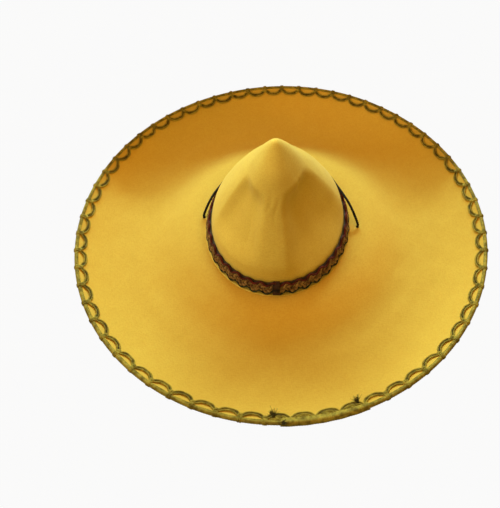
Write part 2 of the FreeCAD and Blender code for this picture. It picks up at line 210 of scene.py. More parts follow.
# Each crease: start angle and height share, end angle and height share, sideways bow, depth, width.
CREASES = [(-104.0, 0.58, -94.0, 0.80, 6.0, 0.45, 2.6),
           (-84.0, 0.50, -76.0, 0.74, -6.0, 0.5, 2.4),
           (-118.0, 0.30, -124.0, 0.56, 4.0, 0.5, 2.6),
           (-112.0, 0.28, -110.0, 0.48, 3.0, 0.4, 2.2),
           (-30.0, 0.55, -38.0, 0.82, 5.0, 0.5, 2.4),
           (100.0, 0.50, 94.0, 0.78, 5.0, 0.6, 2.4)]


def crown_point(angle, height, offset=0.0, inner=False):
    """Point of the crown at an angle and a height above the seat. The inner face is a smaller outer face."""
    share = height / (PEAK - FELT if inner else PEAK)
    scale = crown_scale(share) * (1 - FELT / HALF[0] if inner else 1.0)
    x = (HALF[0] * scale + offset) * np.cos(angle)
    y = (HALF[1] * scale + offset) * np.sin(angle)
    reach = np.hypot(x, y) + 1e-6
    push = np.zeros_like(reach)
    for place, level, depth, before, after, down, up, flat in DENTS:
        across = lobe(turn_to(angle, place), before, after, flat)
        push += depth * across * lobe(share - level, down, up, flat)
    for a0, f0, a1, f1, bow, depth, width in CREASES:
        t = np.clip((share - f0) / (f1 - f0), 0, 1)
        away = np.radians(turn_to(angle, a0 + (a1 - a0) * t + bow * np.sin(math.pi * t))) * reach
        push += depth * np.exp(-(away / width) ** 2) * np.sin(math.pi * t)
    push = np.minimum(push, 0.5 * reach)
    shrink = 1 - push / reach
    z = SEAT + height
    points = np.stack([CENTRE[0] + x * shrink, CENTRE[1] + y * shrink, z + 0 * x], -1)
    rough = ripple(points, 0.35, 42.0, 3) * smooth((height - 30) / 30) * smooth((PEAK - height) / 12)
    points[..., 0] += rough * np.cos(angle)
    points[..., 1] += rough * np.sin(angle)
    return points


# ---------------- mesh making

def run_length(path):
    """Length along a path up to each of its points, and on to where it would close."""
    steps = np.linalg.norm(np.roll(path, -1, 0) - path, axis=1)
    return np.concatenate([[0], np.cumsum(steps)])


def directions(path, reference, closed):
    """Unit directions ahead, sideways and up at each point of a path."""
    ahead = np.roll(path, -1, 0) - np.roll(path, 1, 0)
    if not closed:
        ahead[0] = path[1] - path[0]
        ahead[-1] = path[-1] - path[-2]
    ahead /= np.linalg.norm(ahead, axis=1, keepdims=True)
    side = np.cross(ahead, reference)
    side /= np.linalg.norm(side, axis=1, keepdims=True) + 1e-9
    return ahead, side, np.cross(side, ahead)


class Shape:
    """Collects grids of points into one closed mesh with a map of its length and girth in millimetres."""

    def __init__(self):
        self.points = []
        self.faces = {3: [], 4: []}
        self.maps = {3: [], 4: []}
        self.count = 0

    def grid(self, points, wrap_rows=False, wrap_cols=False, along=None, around=None):
        """Quads over an array of points (rows, columns, 3), joined end to end where asked."""
        rows, cols = points.shape[:2]
        i, j = np.meshgrid(np.arange(rows if wrap_rows else rows - 1),
                           np.arange(cols if wrap_cols else cols - 1), indexing="ij")
        below, beside = (i + 1) % rows, (j + 1) % cols
        quads = np.stack([i * cols + j, below * cols + j, below * cols + beside, i * cols + beside], -1)
        u = np.arange(rows + 1.0) if along is None else along
        v = np.arange(cols + 1.0) if around is None else around
        maps = np.stack([np.stack([u[i], v[j]], -1), np.stack([u[i + 1], v[j]], -1),
                         np.stack([u[i + 1], v[j + 1]], -1), np.stack([u[i], v[j + 1]], -1)], -2)
        self.faces[4].append(quads.reshape(-1, 4) + self.count)
        self.maps[4].append(maps.reshape(-1, 4, 2))
        first = self.count
        self.points.append(points.reshape(-1, 3))
        self.count += rows * cols
        return first

    def cap(self, ring, tip):
        """Fan of triangles from a ring of existing points to a new tip."""
        ring = np.asarray(ring)
        tris = np.stack([ring, np.roll(ring, -1), np.full(len(ring), self.count)], -1)
        self.faces[3].append(tris)
        self.maps[3].append(np.zeros((len(ring), 3, 2)))
        self.points.append(np.asarray(tip, float).reshape(1, 3))
        self.count += 1

    def tube(self, path, radius, sides, reference, closed=False):
        """Round cord along a path. The reference directions keep its section from turning."""
        path = np.asarray(path, float)
        count = len(path)
        ahead, side, up = directions(path, reference, closed)
        turn = TAU * np.arange(sides) / sides
        girth = np.broadcast_to(np.asarray(radius, float), (count,))[:, None, None]
        ring = side[:, None] * np.cos(turn)[None, :, None] + up[:, None] * np.sin(turn)[None, :, None]
        points = path[:, None] + girth * ring
        first = self.grid(points, closed, True, run_length(path), np.arange(sides + 1.0) / sides)
        if not closed:
            start = first + np.arange(sides)
            domed = 0.4 * girth[:, 0, 0]
            self.cap(start, path[0] - ahead[0] * domed[0])
            self.cap((start + (count - 1) * sides)[::-1], path[-1] + ahead[-1] * domed[-1])

    def rope(self, path, radius, plies, pitch, reference, closed=False, sides=6, phase=0.0):
        """Plies twisted round one another along a path."""
        path = np.asarray(path, float)
        length = run_length(path)
        twist = length[:-1] / pitch
        if closed:
            twist = length[:-1] / length[-1] * round(length[-1] / pitch)
        _, side, up = directions(path, reference, closed)
        ply_radius = radius * (0.56 if plies == 2 else 0.50)
        out = radius - ply_radius
        for ply in range(plies):
            turn = TAU * (twist + ply / plies) + phase
            centre = path + out * (side * np.cos(turn)[:, None] + up * np.sin(turn)[:, None])
            self.tube(centre, ply_radius, sides, reference, closed)

    def make(self, name, material, body, slot, nodes=()):
        """Turns the collected grids into a mesh object that rides on a body."""
        mesh = bpy.data.meshes.new(name)
        faces = [face for part in self.faces[4] + self.faces[3] for face in part.tolist()]
        mesh.from_pydata((np.concatenate(self.points) * MM).tolist(), [], faces)
        layer = mesh.uv_layers.new(name="length_and_girth")
        maps = [m.reshape(-1, 2) for m in self.maps[4] + self.maps[3]]
        layer.data.foreach_set("uv", np.concatenate(maps).astype(np.float32).ravel())
        work = bmesh.new()
        work.from_mesh(mesh)
        bmesh.ops.recalc_face_normals(work, faces=work.faces)
        work.to_mesh(mesh)
        work.free()
        mesh.validate()
        mesh.polygons.foreach_set("use_smooth", [True] * len(mesh.polygons))
        piece = bpy.data.objects.new(name, mesh)
        bpy.context.scene.collection.objects.link(piece)
        mesh.materials.append(material)
        if body:
            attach(piece, body)
        if nodes:
            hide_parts(*nodes)
        return piece


# ---------------- materials

class Finish:
    """A node material built step by step."""

    def __init__(self, name, roughness, sheen=0.0, metallic=0.0):
        self.material = bpy.data.materials.new(name)
        self.material.use_nodes = True
        self.nodes = self.material.node_tree.nodes
        self.links = self.material.node_tree.links
        self.surface = self.nodes["Principled BSDF"]
        self.surface.inputs["Roughness"].default_value = roughness
        self.surface.inputs["Metallic"].default_value = metallic
        self.surface.inputs["Sheen Weight"].default_value = sheen
        self.surface.inputs["Sheen Roughness"].default_value = 0.5
        self.place = self.nodes.new("ShaderNodeTexCoord")

    def add(self, kind, settings=None, **inputs):
        """New node. An input is named by its socket, or by its place after an underscore."""
        node = self.nodes.new(kind)
        for key, value in (settings or {}).items():
            setattr(node, key, value)
        for key, value in inputs.items():
            self.plug(node.inputs[int(key[1:]) if key[0] == "_" else key.replace("_", " ")], value)
        return node

    def plug(self, socket, value):
        """Links an output to a socket, or sets the socket's own value."""
        if hasattr(value, "is_output"):
            self.links.new(value, socket)
        else:
            socket.default_value = value

    def noise(self, scale, detail=3.0, stretch=(1.0, 1.0, 1.0), source="Object"):
        spread = self.add("ShaderNodeMapping", _0=self.place.outputs[source], Scale=stretch)
        cloud = self.add("ShaderNodeTexNoise", Vector=spread.outputs[0], Scale=scale, Detail=detail)
        return cloud.outputs["Fac"]

    def stripes(self, per_length, per_girth):
        """Threads wound round a cord: bands across its length that lean along its girth."""
        scale = (per_length, per_girth, 1.0)
        turned = self.add("ShaderNodeMapping", _0=self.place.outputs["UV"], Scale=scale)
        split = self.add("ShaderNodeSeparateXYZ", _0=turned.outputs[0])
        total = self.plus(split.outputs[0], split.outputs[1])
        wave = self.add("ShaderNodeMath", {"operation": "SINE"}, _0=self.times(total, TAU))
        return self.between(wave.outputs[0], -1.0, 1.0)

    def times(self, value, factor):
        return self.add("ShaderNodeMath", {"operation": "MULTIPLY"}, _0=value, _1=factor).outputs[0]

    def plus(self, one, other):
        return self.add("ShaderNodeMath", {"operation": "ADD"}, _0=one, _1=other).outputs[0]

    def between(self, value, low, high):
        return self.add("ShaderNodeMapRange", Value=value, From_Min=low, From_Max=high).outputs[0]

    def blend(self, share, one, other):
        one, other = [value if hasattr(value, "is_output") else rgb(*value) for value in (one, other)]
        return self.add("ShaderNodeMix", {"data_type": "RGBA"}, _0=share, _6=one, _7=other).outputs[2]

    def colour(self, value):
        self.links.new(value, self.surface.inputs["Base Color"])

    def relief(self, height, depth_mm, strength=1.0, under=None):
        bump = self.add("ShaderNodeBump", Height=height, Strength=strength, Distance=depth_mm * MM)
        if under:
            self.links.new(under, bump.inputs["Normal"])
        self.links.new(bump.outputs[0], self.surface.inputs["Normal"])
        return bump.outputs[0]


def rgb(r, g, b):
    """Opaque colour."""
    return (r, g, b, 1.0)


def felt_finish(name, deep, plain, pale):
    """Pressed wool felt: matted short fibres, cloudy colour and a soft nap."""
    f = Finish(name, roughness=0.92, sheen=0.25)
    f.surface.inputs["Sheen Tint"].default_value = rgb(1.0, 0.82, 0.35)
    clouds = f.noise(11.0, 4.0)
    patches = f.noise(75.0, 4.0)
    fibres = f.noise(900.0, 4.0, (1.0, 0.25, 1.0))
    cross_fibres = f.noise(900.0, 4.0, (0.25, 1.0, 1.0))
    matting = f.plus(f.times(fibres, 0.5), f.times(cross_fibres, 0.5))
    cloudy = f.blend(f.between(clouds, 0.3, 0.7), plain, pale)
    mottled = f.blend(f.times(f.between(patches, 0.62, 0.42), 0.18), cloudy, deep)
    f.colour(f.blend(f.times(f.between(matting, 0.56, 0.40), 0.6), mottled, deep))
    first = f.relief(patches, 0.5, 0.35)
    f.relief(matting, 0.35, 0.9, first)
    return f.material


def cord_finish(name, deep, pale, wraps_per_mm, shine, sheen=0.2):
    """Cord wound with fine thread, with painted shade that darkens it between the windings."""
    f = Finish(name, roughness=0.75 - 0.3 * shine, sheen=sheen, metallic=0.2 * shine)
    f.surface.inputs["Sheen Tint"].default_value = rgb(*pale)
    f.surface.inputs["Specular IOR Level"].default_value = 0.3
    wraps = f.stripes(wraps_per_mm, 1.0)
    wear = f.noise(160.0, 3.0)
    worn = f.blend(f.between(wear, 0.35, 0.65), deep, pale)
    # painted shade: the colour turns towards deep in the recesses between the windings
    f.colour(f.blend(f.times(f.between(wraps, 0.6, 0.1), 0.75), worn, deep))
    first = f.relief(wraps, 0.25, 0.8)
    f.relief(f.noise(1800.0, 2.0), 0.08, 0.5, first)
    return f.material


def woven_finish(name, deep, pale, ribs_per_mm):
    """Ribbed tape: fine ribs one way and thread the other."""
    f = Finish(name, roughness=0.85, sheen=0.3)
    ribs = f.stripes(ribs_per_mm, 0.0)
    picks = f.stripes(0.0, 1.4)
    f.colour(f.blend(f.times(f.plus(f.times(ribs, 0.6), f.times(picks, 0.4)), 0.9), deep, pale))
    first = f.relief(ribs, 0.2, 0.7)
    f.relief(picks, 0.12, 0.6, first)
    return f.material


def leather_finish(name, deep, pale):
    """Dyed leather: pebbled grain, darker in its creases."""
    f = Finish(name, roughness=0.5)
    pebbles = {"feature": "DISTANCE_TO_EDGE"}
    cells = f.add("ShaderNodeTexVoronoi", pebbles, _0=f.place.outputs["Object"], Scale=900.0)
    grain = f.between(cells.outputs["Distance"], 0.0, 0.25)
    f.colour(f.blend(f.plus(f.times(grain, 0.7), f.times(f.noise(120.0), 0.3)), deep, pale))
    f.relief(grain, 0.15, 0.6)
    return f.material


def steel_finish(name):
    """Drawn steel with fine scratches."""
    f = Finish(name, roughness=0.35, metallic=1.0)
    scratches = f.noise(400.0, 4.0, (1.0, 1.0, 0.1))
    f.colour(f.blend(scratches, (0.35, 0.34, 0.32), (0.6, 0.6, 0.6)))
    f.relief(scratches, 0.03, 0.4)
    return f.material


crown_felt_look = felt_finish("crown_felt_look", (0.74, 0.44, 0.045), (0.84, 0.56, 0.066),
                              (0.86, 0.59, 0.074))
brim_felt_look = felt_finish("brim_felt_look", (0.76, 0.45, 0.045), (0.84, 0.555, 0.064),
                             (0.85, 0.575, 0.07))
thread_look = cord_finish("thread_look", (0.35, 0.22, 0.04), (0.66, 0.5, 0.16), 1.2, 0.1)
olive_look = cord_finish("olive_look", (0.20, 0.15, 0.012), (0.70, 0.54, 0.07), 0.9, 0.3)
dark_look = cord_finish("dark_look", (0.03, 0.022, 0.004), (0.20, 0.15, 0.022), 1.0, 0.2)
bronze_look = cord_finish("bronze_look", (0.22, 0.10, 0.03), (0.72, 0.44, 0.16), 0.9, 0.5)
brown_look = cord_finish("brown_look", (0.12, 0.06, 0.015), (0.50, 0.31, 0.09), 0.9, 0.4)
maroon_look = cord_finish("maroon_look", (0.06, 0.008, 0.005), (0.26, 0.04, 0.03), 0.9, 0.3)
wrap_look = cord_finish("wrap_look", (0.012, 0.006, 0.005), (0.12, 0.05, 0.03), 0.9, 0.3)
green_look = cord_finish("green_look", (0.01, 0.014, 0.006), (0.08, 0.09, 0.03), 0.9, 0.3)
black_look = cord_finish("black_look", (0.004, 0.004, 0.004), (0.022, 0.021, 0.02), 0.8, 0.1, 0.35)
tape_look = woven_finish("tape_look", (0.012, 0.010, 0.008), (0.07, 0.06, 0.045), 0.42)
backing_look = woven_finish("backing_look", (0.02, 0.012, 0.005), (0.09, 0.05, 0.02), 0.8)
leather_look = leather_finish("leather_look", (0.010, 0.007, 0.006), (0.045, 0.03, 0.024))
steel_look = steel_finish("steel_look")


# ---------------- felt

def full_turn(count):
    """Evenly spaced angles all the way round."""
    return TAU * np.arange(count) / count


COLLAR_OUTER = -FELT - GAP   # faces of the brim's collar, measured from the crown's outer face
COLLAR_INNER = COLLAR_OUTER - 2.0
MEET_R = 120.0               # from here outwards the rings of the brim's mesh are circles
HOLE_R = 2.0


def plate_ring(x, y, depth):
    """Ring of the brim at given places of its upper face, or a depth below it."""
    r = np.hypot(x, y)
    z, slope = brim_face(np.clip(r, 61, EDGE_R))
    z = z + unevenness(np.arctan2(y, x), r)
    grow = 1 + depth * np.sin(slope) / r
    ring = np.stack([x * grow, y * grow, z - depth * np.cos(slope)], -1)
    ring[:, 2] += ripple(ring * [1, 1, 0], 0.22, 38.0, 5) * smooth((r - 122) / 20)
    return ring


def inner_ring(angle, share, start_offset, depth):
    """Ring of the brim between the crown's oval and the circle where the outer rings start."""
    wide = HALF + start_offset
    x0 = CENTRE[0] + wide[0] * np.cos(angle)
    y0 = CENTRE[1] + wide[1] * np.sin(angle)
    x = x0 + (MEET_R * np.cos(angle) - x0) * share
    y = y0 + (MEET_R * np.sin(angle) - y0) * share
    return plate_ring(x, y, depth)


def make_brim():
    """Brim and its turned-up collar as one closed skin, with two holes for the cord."""
    angle = full_turn(432)
    collar = [(COLLAR_INNER, height) for height in (1.2, 3.0, 5.5, 8.0, 10.5, 11.5)]
    collar += [(-4.9, 11.85), (-4.2, 12.0), (-3.4, 11.85)]
    collar += [(COLLAR_OUTER, height) for height in (11.5, 10.5, 8.0, 5.5, 3.0, 1.6)]
    collar += [(COLLAR_OUTER + 0.25, 0.7)]
    rows = [wall_point(angle, height, offset) for offset, height in collar]
    rows += [inner_ring(angle, share, COLLAR_OUTER, 0.0) for share in np.linspace(0.03, 0.94, 12)]
    radii = np.concatenate([np.linspace(MEET_R, 200, 34), np.linspace(202, EDGE_R - 0.9, 30)])
    rows += [plate_ring(r * np.cos(angle), r * np.sin(angle), 0.0) for r in radii]
    for turn in np.linspace(0.0, math.pi, 9)[1:-1]:
        depth = FELT / 2 * (1 - math.cos(turn))
        rows.append(rim_point(angle, 1.1 * (1 - math.sin(turn)), -depth))
    rows += [plate_ring(r * np.cos(angle), r * np.sin(angle), FELT) for r in radii[::-1][::2]]
    rows += [inner_ring(angle, share, COLLAR_INNER, FELT) for share in np.linspace(0.94, 0.06, 8)]
    rows += [wall_point(angle, -2.5, COLLAR_INNER + 0.5), wall_point(angle, -1.4, COLLAR_INNER)]
    brim = Shape()
    brim.grid(np.array(rows), True, True)
    piece = brim.make("brim_felt_body", brim_felt_look, None, "yellow_felt", ["brim_felt"])
    punch_holes(piece)
    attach(piece, "hat")


def punch_holes(piece):
    """Cuts the two cord holes through the brim."""
    for side in (-1, 1):
        cutter = Shape()
        path = np.array([[side * HOLE_X, 0.0, SEAT - 9.0], [side * HOLE_X, 0.0, SEAT + 6.0]])
        cutter.tube(path, HOLE_R, 24, np.array([[0.0, 1.0, 0.0]] * 2))
        tool = cutter.make("hole_tool", brim_felt_look, None, "yellow_felt")
        cut = piece.modifiers.new("hole", "BOOLEAN")
        cut.operation = "DIFFERENCE"
        cut.solver = "EXACT"
        cut.object = tool
        bpy.context.view_layer.objects.active = piece
        bpy.ops.object.modifier_apply(modifier=cut.name)
        bpy.data.objects.remove(tool)


# The lip's section from inside the wall, under the lip and back to the outer face, as (offset, height).
LIP = [(-2.98, 4.0), (-2.95, 1.0), (-2.6, 0.25), (-1.0, 0.18), (3.0, 0.18), (8.0, 0.2), (8.8, 0.55),
       (9.0, 1.0), (8.8, 1.5), (8.0, 1.8), (4.6, 1.95), (1.8, 2.15), (0.45, 2.7), (0.08, 3.8), (0.0, 6.0)]


def make_crown():
    """Crown as one closed skin: inner face, turned-out lip, outer face with its dents and rounded peak."""
    columns = 360
    angle = full_turn(columns)
    cap_heights = PEAK * (1 - 0.1 * np.linspace(1, 0, 15)[:-1] ** 2)
    wall_heights = np.linspace(9.0, PEAK * 0.9, 112)[:-1]
    inner_share = (PEAK - FELT) / PEAK
    rows = []
    for height in np.concatenate([wall_heights[::2], cap_heights])[::-1] * inner_share:
        rows.append(crown_point(angle, np.full_like(angle, height), inner=True))
    for offset, height in LIP:
        lip = np.full_like(angle, height)
        lip += 0.15 * smooth((offset - 1) / 3) * np.sin(7 * angle + 1) * (height > 1)
        rows.append(crown_point(angle, lip, offset))
    for height in np.concatenate([wall_heights, cap_heights]):
        rows.append(crown_point(angle, np.full_like(angle, height)))
    crown = Shape()
    crown.grid(np.array(rows), False, True)
    crown.cap(np.arange(columns), [CENTRE[0], CENTRE[1], SEAT + PEAK - FELT])
    crown.cap((len(rows) - 1) * columns + np.arange(columns)[::-1], [CENTRE[0], CENTRE[1], SEAT + PEAK])
    crown.make("crown_felt_body", crown_felt_look, "hat", "yellow_felt", ["crown_felt"])


# ---------------- edge braid

LOOPS = 61
PITCH = TAU / LOOPS
JOIN_START = math.radians(-85.0)         # where the braid's two ends overlap
JOIN_END = math.radians(-64.0)
# Each arch of a loop: half its width, its depth, half its width at the foot, height over the felt, points.
OUTER_ARCH = (11.6, 10.4, 13.2, 1.3, 44)
INNER_ARCH = (8.6, 7.5, 11.6, 1.25, 40)
# arch of the thin dark strand that lies between a loop's two strands as painted shade
SHADE_STRAND_ARCH = (10.1, 9.0, 12.4, 0.75, 40)
OUTER_STRAND_R = 1.15
INNER_STRAND_R = 1.1
SHADE_STRAND_R = 0.65
STRAND_TURN = 3.6            # length in which a strand's plies go once round each other
TIE_R = 0.7
TIE_REACH = 3.0              # how far the ties stand out beyond the felt's edge


def surface_normal(angle, inset):
    """Direction straight out of the brim's upper face near its edge."""
    slope = RIM_SLOPE - np.maximum(inset, 0) / ROUND
    return np.stack([-np.sin(slope) * np.cos(angle), -np.sin(slope) * np.sin(angle), np.cos(slope)], -1)


def arch_path(centre_angle, arch, deeper, lean):
    """One arch of the braid: from the tie at its left, round its top, to the tie at its right."""
    wide, deep, foot, rise, samples = arch
    t = np.linspace(-1, 1, samples)
    turn = t * math.pi / 2
    inset = (deep + deeper) * np.maximum(np.cos(turn), 0) ** 0.62
    across = wide * np.sign(t) * np.abs(np.sin(turn)) ** 0.9
    flare = (foot - wide) * smooth((np.abs(t) - 0.62) / 0.38)
    across = across + np.sign(t) * flare + lean * np.cos(turn)
    inset = inset + 0.6
    angle = centre_angle + across / (EDGE_R - inset * math.cos(RIM_SLOPE))
    lift = rise + 0.25 * np.cos(turn * 2)
    return rim_point(angle, inset, lift), surface_normal(angle, inset)


def make_loops():
    """Loops of two twisted strands, with a thin dark strand laid between them as painted shade."""
    outer, inner, shade_strand = Shape(), Shape(), Shape()
    for index in range(LOOPS):
        centre = index * PITCH - math.pi
        lean = rng.normal(0, 0.35)
        deeper = rng.normal(0, 0.3)
        phase = rng.uniform(0, TAU)
        path, normal = arch_path(centre, OUTER_ARCH, deeper, lean)
        outer.rope(path, OUTER_STRAND_R, 2, STRAND_TURN, normal, phase=phase)
        path, normal = arch_path(centre, INNER_ARCH, deeper, lean)
        inner.rope(path, INNER_STRAND_R, 2, STRAND_TURN, normal, phase=phase + 1)
        # painted shade: a thin dark strand between the loop's two strands, where shade falls
        path, normal = arch_path(centre, SHADE_STRAND_ARCH, deeper, lean)
        shade_strand.tube(path, SHADE_STRAND_R, 6, normal)
    outer.make("edge_braid_outer_loops", olive_look, "hat", "olive_gimp", ["edge_braid_outer_strands"])
    inner.make("edge_braid_inner_loops", olive_look, "hat", "olive_gimp", ["edge_braid_inner_strands"])
    shade_strand.make("edge_braid_loop_core", dark_look, "hat", "dark_gimp")


def fold_section(top, reach, bottom, leg, wall, steps):
    """Closed section of a strip folded over the edge, as (inset, lift) points."""
    half = (top - bottom) / 2
    middle = (top + bottom) / 2
    bend = half / 2
    start = bend - reach
    points = [(inset, top + wall) for inset in np.linspace(leg, 0, steps)]
    for turn in np.linspace(math.pi / 2, -math.pi / 2, 7):
        points.append((start - (bend + wall) * math.cos(turn), middle + (half + wall) * math.sin(turn)))
    points += [(inset, bottom - wall) for inset in np.linspace(0, leg, steps)]
    points += [(inset, bottom) for inset in np.linspace(leg, 0, steps)]
    for turn in np.linspace(-math.pi / 2, math.pi / 2, 5):
        points.append((start - bend * math.cos(turn), middle + half * math.sin(turn)))
    points += [(inset, top) for inset in np.linspace(0, leg, steps)]
    return np.array(points)


def make_foot():
    """Foot of the braid: a ribbed strip folded over the felt's edge."""
    columns = LOOPS * 36
    angle = full_turn(columns)
    ribs = 0.16 * np.sin(angle * LOOPS * 9)
    rows = []
    for inset, lift in fold_section(0.2, 2.0, -FELT - 0.2, 0.9, 0.8, 3):
        outside = lift > 0.5 or lift < -FELT - 0.5
        away = np.sign(lift - FELT_MIDDLE) * ribs * outside
        rows.append(rim_point(angle, inset, lift + away))
    foot = Shape()
    foot.grid(np.array(rows), True, True, around=np.arange(columns + 1.0) * TAU * EDGE_R / columns)
    foot.make("edge_braid_foot_strip", olive_look, "hat", "olive_gimp", ["edge_braid_foot"])


def edge_wrap_path(angle, reach, half_thickness, leg, samples, slant):
    """Thread laid over the edge from the upper side to the lower side."""
    t = np.linspace(0, 1, samples)
    bend = smooth((t - 0.25) / 0.5) * math.pi
    inset = leg * (1 - smooth(t / 0.32)) + leg * smooth((t - 0.68) / 0.32) - reach * np.sin(bend)
    lift = FELT_MIDDLE + half_thickness * np.cos(bend)
    turn = angle + slant * (t - 0.5) / EDGE_R
    points = rim_point(turn, inset, lift)
    return points, points - rim_point(turn, 0.0, FELT_MIDDLE)


def tie_places():
    """Angles of the ties: between neighbouring loops, apart from the join."""
    places = (np.arange(LOOPS) + 0.5) * PITCH - math.pi
    clear = math.radians(2.0)
    return places[(places < JOIN_START - clear) | (places > JOIN_END + clear)]


def make_ties():
    """Threads that gather the feet of neighbouring arches: some round the edge, some across the feet."""
    ties = Shape()
    for place in tie_places():
        for turn in range(4):
            shift = (turn - 1.5) * 1.2 + rng.normal(0, 0.15)
            reach = TIE_REACH + rng.normal(0, 0.12) + (0.3 if turn in (1, 2) else 0.0)
            path, out = edge_wrap_path(place + shift / EDGE_R, reach, 2.9, 3.2, 22, rng.normal(0, 1.0))
            ties.tube(path, TIE_R, 6, np.cross(np.gradient(path, axis=0), out))
        for turn in range(3):
            t = np.linspace(-1, 1, 12)
            inset = 3.2 + 0.9 * turn + 0.25 * np.cos(t * 3)
            angle = place + 2.5 * t / EDGE_R
            lift = 1.5 + 0.9 * np.cos(t * math.pi / 2)
            ties.tube(rim_point(angle, inset, lift), 0.62, 6, surface_normal(angle, inset))
    ties.make("edge_braid_tie_wraps", olive_look, "hat", "olive_gimp", ["edge_braid_ties"])


def tuft(shape, root, direction, count, length, spread, thick):
    """Loose thread ends that fan out from a root."""
    for _ in range(count):
        way = direction + rng.normal(0, spread, 3)
        way /= np.linalg.norm(way)
        curl = rng.normal(0, 0.35, 3)
        t = np.linspace(0, 1, 6)[:, None]
        start = root + rng.normal(0, 0.6, 3)
        path = start + length * rng.uniform(0.5, 1.0) * (way * t + curl * t * t)
        path[:, 2] = np.maximum(path[:, 2], 0.4)
        radius = thick * np.linspace(1, 0.35, 6)
        shape.tube(path, radius, 4, np.cross(way, [0.3, 0.5, 0.8])[None, :].repeat(6, 0))


def make_join():
    """Tape round the edge where the braid's ends overlap."""
    count = 170
    angle = np.linspace(JOIN_START, JOIN_END, count)
    taper = 1 - 0.45 * smooth((angle - JOIN_START) / (JOIN_END - JOIN_START) * 1.6 - 0.55)
    ribs = 0.12 * np.sin(np.arange(count) * 1.3) + 0.15 * np.sin(angle * 90)
    rows = []
    for inset, lift in fold_section(1.3, 3.3, -FELT - 1.3, 3.3, 0.8, 3):
        outmost = inset < -3.4
        away = ribs * (lift > 1.6 or lift < -FELT - 1.6 or outmost)
        place = inset * (taper if inset > 0 else 1) - away * outmost
        rows.append(rim_point(angle, place, lift + np.sign(lift - FELT_MIDDLE) * away))
    points = np.array(rows).transpose(1, 0, 2)
    sides = len(rows)
    tape = Shape()
    tape.grid(points, False, True, np.arange(count + 1.0) * 0.57, np.arange(sides + 1.0) / 4)
    tape.cap(np.arange(sides), points[0].mean(0))
    tape.cap((count - 1) * sides + np.arange(sides)[::-1], points[-1].mean(0))
    tape.make("edge_braid_join_tape", olive_look, "hat", "olive_gimp", ["edge_braid_join"])


def make_doubled_loops():
    """Small arches that fill the loops over the join."""
    doubled = Shape()
    first = round((JOIN_START + math.pi) / PITCH)
    for index in range(first, first + 4):
        for wide, deep in ((6.4, 5.2), (4.2, 2.9), (2.0, 0.8)):
            arch = (wide, deep, wide + 1.0, 1.5, 30)
            path, normal = arch_path(index * PITCH - math.pi, arch, 0.0, rng.normal(0, 0.4))
            doubled.rope(path, 1.0, 2, 3.2, normal)
    doubled.make("edge_braid_doubled_loops", olive_look, "hat", "olive_gimp")


# Frayed ends at the join: angle round the rim, inset, number of threads, their length, their spread.
FRAYED = [(-86.6, 4.0, 60, 7.0, 0.5),
          (-87.2, 9.0, 40, 5.0, 0.5),
          (-84.3, -3.5, 70, 5.0, 0.5),
          (-66.0, 7.0, 90, 6.5, 0.26)]


def make_frayed_ends():
    """Loose thread ends where the braid was cut."""
    frayed = Shape()
    for place, inset, count, length, spread in FRAYED:
        turn = math.radians(place)
        root = rim_point(turn, inset, 2.0)
        outwards = np.array([math.cos(turn), math.sin(turn), 0.35]) * (1 if inset < 0 else -1)
        tuft(frayed, root, outwards + np.array([0, 0, 0.5]), count, length, spread, 0.3)
    frayed.make("edge_braid_frayed_ends", dark_look, "hat", "dark_gimp")


def make_wire():
    """Drawn wire inside the fold of the edge, with a crimped sleeve over its two ends."""
    angle = full_turn(360)
    wire = Shape()
    path = rim_point(angle, -WIRE_OUT, FELT_MIDDLE)
    up = np.tile([0.0, 0.0, 1.0], (360, 1))
    wire.tube(path, WIRE_R, 8, up, closed=True)
    wire.make("brim_wire", steel_look, "hat", "edge_wire", ["brim_edge_wire"])
    sleeve = Shape()
    near = np.radians(np.linspace(88.5, 91.5, 15))
    path = rim_point(near, -WIRE_OUT, FELT_MIDDLE)
    crimp = 0.95 - 0.12 * (np.arange(15) % 5 == 2)
    sleeve.tube(path, crimp, 12, up[:15])
    sleeve.make("wire_sleeve", steel_look, "hat", "edge_wire", ["wire_splice_sleeve"])


# ---------------- hatband

SCALLOPS = 36
SCALLOP_HEIGHT = 2.1         # how far an edge cord swings up and down
EDGE_CORD_R = 1.25
EDGE_CORD_TURN = 5.6
YARN_R = 0.95
YARN_TURN = 3.0
BAND_MIDDLE = (BAND_LOW + BAND_HIGH) / 2
BAND_JOIN = math.radians(-85.0)
BAND_LEAN = 4.6              # how far the band's foot stands out, where it lies on the lip


def band_lean(height):
    """How far the hatband stands out from the wall at a height."""
    return BAND_LEAN * (BAND_HIGH - height) / (BAND_HIGH - BAND_LOW)


def outward(angle):
    """Direction away from the crown, a little upwards."""
    return np.stack([np.cos(angle), np.sin(angle), 0.35 + 0 * angle], -1)


def make_band_backing(angle, wave):
    """Ribbed strip behind the braided strands."""
    ribs = 0.08 * np.sin(angle * SCALLOPS * 6)
    faces = [(height, 1.3 + ribs) for height in np.linspace(BAND_LOW + 1.2, BAND_HIGH - 1.2, 9)]
    faces += [(height, 0.3) for height in np.linspace(BAND_HIGH - 1.2, BAND_LOW + 1.2, 4)]
    rows = [wall_point(angle, height + 0.8 * wave, offset + band_lean(height)) for height, offset in faces]
    backing = Shape()
    backing.grid(np.array(rows), True, True, around=np.arange(len(angle) + 1.0) * 0.69)
    backing.make("hatband_backing", backing_look, "hat", "bronze_gimp", ["hatband_core"])


def make_band_edge(name, look, slot, middle, node):
    """Scalloped cord along one edge of the hatband."""
    angle = full_turn(SCALLOPS * 24)
    height = middle + SCALLOP_HEIGHT * np.sin(SCALLOPS * angle)
    path = wall_point(angle, height, 3.1 + band_lean(height))
    cord = Shape()
    cord.rope(path, EDGE_CORD_R, 3, EDGE_CORD_TURN, outward(angle), closed=True)
    cord.make(name, look, "hat", slot, [node])


